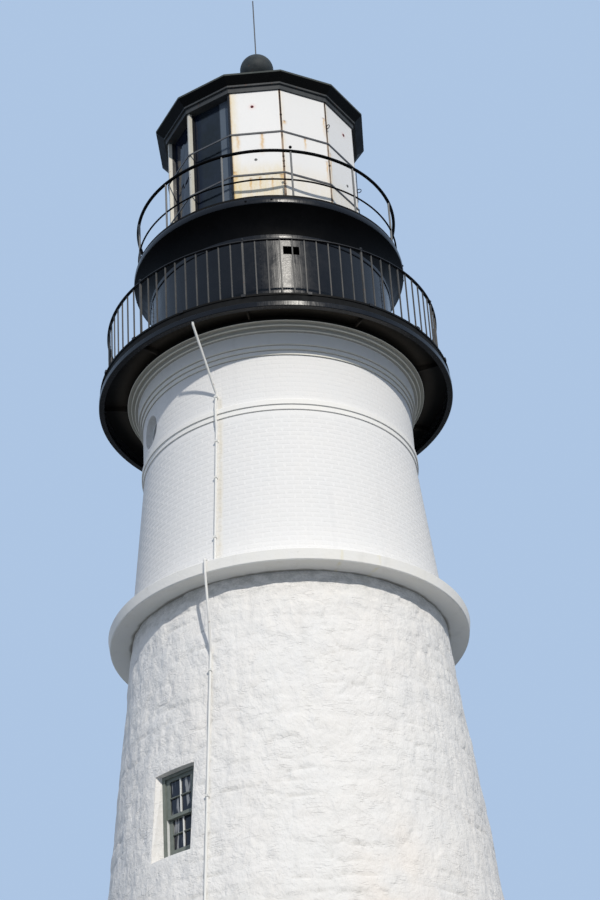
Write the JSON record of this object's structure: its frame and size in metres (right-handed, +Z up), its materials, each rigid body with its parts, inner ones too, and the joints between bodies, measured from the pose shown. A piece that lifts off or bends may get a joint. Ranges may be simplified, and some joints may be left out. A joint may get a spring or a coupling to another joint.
{
  "type": "lighthouse tower",
  "caption": "Round masonry lighthouse with rubble lower wall, brick upper stage, black iron galleries with railings, polygonal lantern and conical roof.",
  "frame": {"origin": "on the ground at the tower axis", "axes": "+Z up the tower; -Y faces the side seen in the picture, +X to its right"},
  "size_m": [7.1118, 7.112, 26.165],
  "materials": {
    "white_masonry": "matte",
    "floor_stone": "matte",
    "black_iron": "gloss",
    "cream_iron": "satin",
    "white_panel": "satin",
    "rod_metal": "matte",
    "glazing": "gloss",
    "green_wood": "satin",
    "white_wood": "satin",
    "white_pipe": "satin"
  },
  "bodies": {
    "root": {"belt_course": "white_masonry", "brick_wall_1": "white_masonry", "brick_wall_2": "white_masonry", "brick_wall_3": "white_masonry", "brick_wall_4": "white_masonry", "conduit": "white_pipe", "conduit_clips": "white_pipe", "cornice": "white_masonry", "door_frame": "green_wood", "door_leaf": "green_wood", "gallery_deck": "black_iron", "gallery_edge": "black_iron", "gallery_posts": "black_iron", "gallery_railing": "black_iron", "gallery_ribs": "black_iron", "ground_floor": "floor_stone", "lantern_eave": "black_iron", "lantern_glass": "glazing", "lantern_head": "black_iron", "lantern_hoops": "black_iron", "lantern_mullions": "cream_iron", "lantern_panels": "white_panel", "lantern_roof": "black_iron", "lantern_sill": "black_iron", "lightning_rod": "rod_metal", "oculus_frames": "white_wood", "oculus_panes": "glazing", "stone_wall_1": "white_masonry", "stone_wall_2": "white_masonry", "stone_wall_3": "white_masonry", "stone_wall_4": "white_masonry", "stone_wall_5": "white_masonry", "stone_wall_6": "white_masonry", "string_course": "white_masonry", "upper_deck": "black_iron", "upper_edge": "black_iron", "upper_posts": "black_iron", "upper_rails": "black_iron", "ventilator": "black_iron", "watch_cove": "black_iron", "watch_hatch": "black_iron", "watch_wall": "black_iron", "window_frames": "green_wood", "window_panes": "glazing", "window_sashes": "green_wood"}
  },
  "joints": []
}
